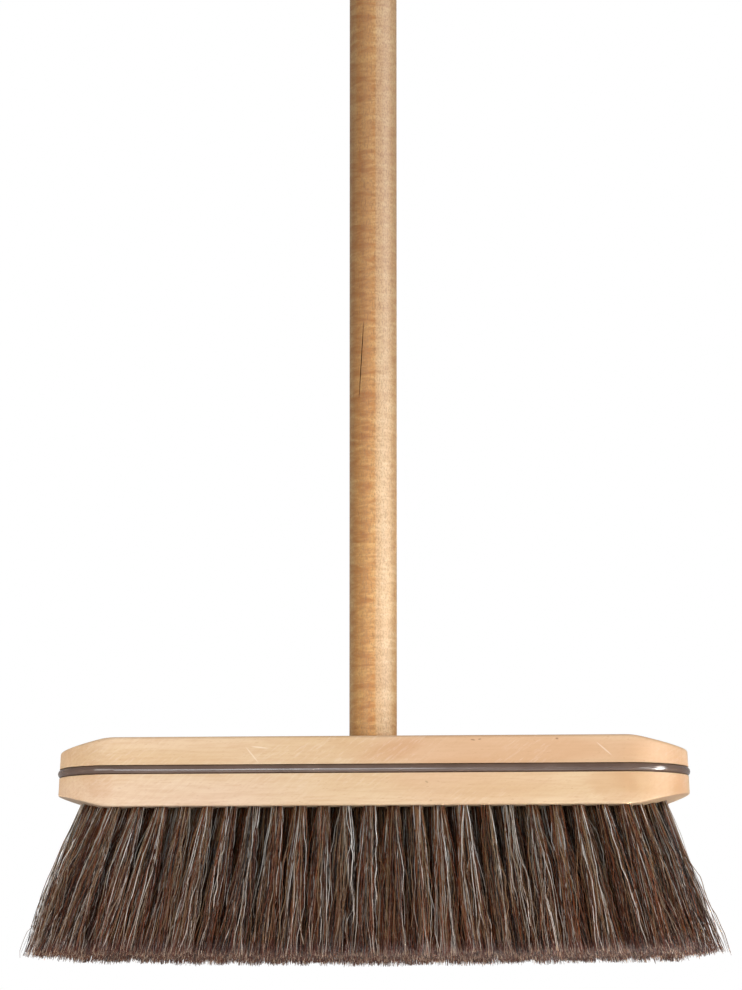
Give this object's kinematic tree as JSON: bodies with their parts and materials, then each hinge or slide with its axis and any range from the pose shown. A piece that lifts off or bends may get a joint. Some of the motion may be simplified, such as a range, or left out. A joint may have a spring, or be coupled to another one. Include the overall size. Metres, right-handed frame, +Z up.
{
  "type": "push broom",
  "caption": "Wooden push broom: a bevelled beech block with a cushioning bumper cord in a groove, staked horsehair tufts that fan out to the floor, and a straight round handle.",
  "frame": {"origin": "on the floor, under the middle of the block, where the trimmed hair stands", "axes": "+Z up the handle, X along the block, -Y the front that is pushed forwards"},
  "size_m": [0.3496, 0.0978, 1.3925],
  "materials": {
    "block_beech": "satin",
    "handle_wood": "satin",
    "bumper_rubber": "gloss",
    "horsehair": "satin",
    "steel": "satin"
  },
  "bodies": {
    "root": {"head_block": "block_beech", "handle": "handle_wood", "bumper_cord": "bumper_rubber", "handle_screw": "steel", "hair_tufts_row_1": "horsehair", "hair_tufts_row_2": "horsehair", "hair_tufts_row_3": "horsehair", "hair_tufts_row_4": "horsehair", "hair_tufts_row_5": "horsehair", "hair_tufts_row_6": "horsehair", "hair_tufts_row_7": "horsehair", "anchor_wires_row_1": "steel", "anchor_wires_row_2": "steel", "anchor_wires_row_3": "steel", "anchor_wires_row_4": "steel", "anchor_wires_row_5": "steel", "anchor_wires_row_6": "steel", "anchor_wires_row_7": "steel"}
  },
  "joints": []
}
